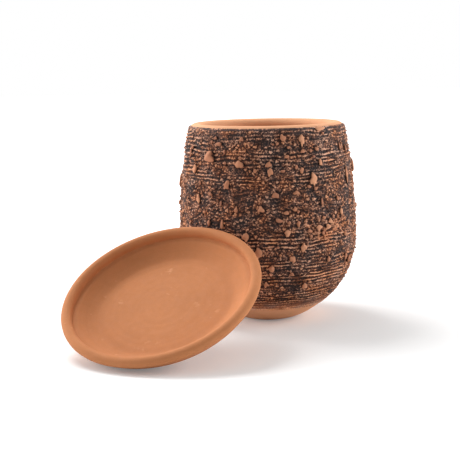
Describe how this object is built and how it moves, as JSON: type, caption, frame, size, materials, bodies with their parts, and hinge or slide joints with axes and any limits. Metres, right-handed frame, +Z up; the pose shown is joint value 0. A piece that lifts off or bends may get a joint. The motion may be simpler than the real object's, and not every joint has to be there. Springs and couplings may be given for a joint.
{
  "type": "planter pot with saucer",
  "caption": "Round terracotta planter with a rough, dark-stained coat and a bare rolled lip, and its loose shallow saucer leaning against it.",
  "frame": {"origin": "centre of the pot's foot, on the surface that the pot stands on, on the axis of the drain hole", "axes": "+Z up the pot's axis, -Y towards the front, where the saucer's dish faces, +X to the right of the front"},
  "size_m": [0.2184, 0.2495, 0.155],
  "materials": {
    "terracotta": "matt, bare fired clay",
    "stained_coat": "rough, stained dark in the hollows and wiped on the high places",
    "pellet_clay": "matt, wiped clean of stain",
    "saucer_clay": "matt, bare fired clay"
  },
  "bodies": {
    "pot": {"pot_body": "terracotta", "slip_coat": "stained_coat", "clay_pellets": "pellet_clay"},
    "saucer": {"saucer": "saucer_clay"}
  },
  "joints": [
    {"name": "saucer_lift", "type": "slide", "parent": "pot", "child": "saucer", "axis": [-0.2034, -0.4568, 0.866], "range_m": [0, 0.12]}
  ]
}
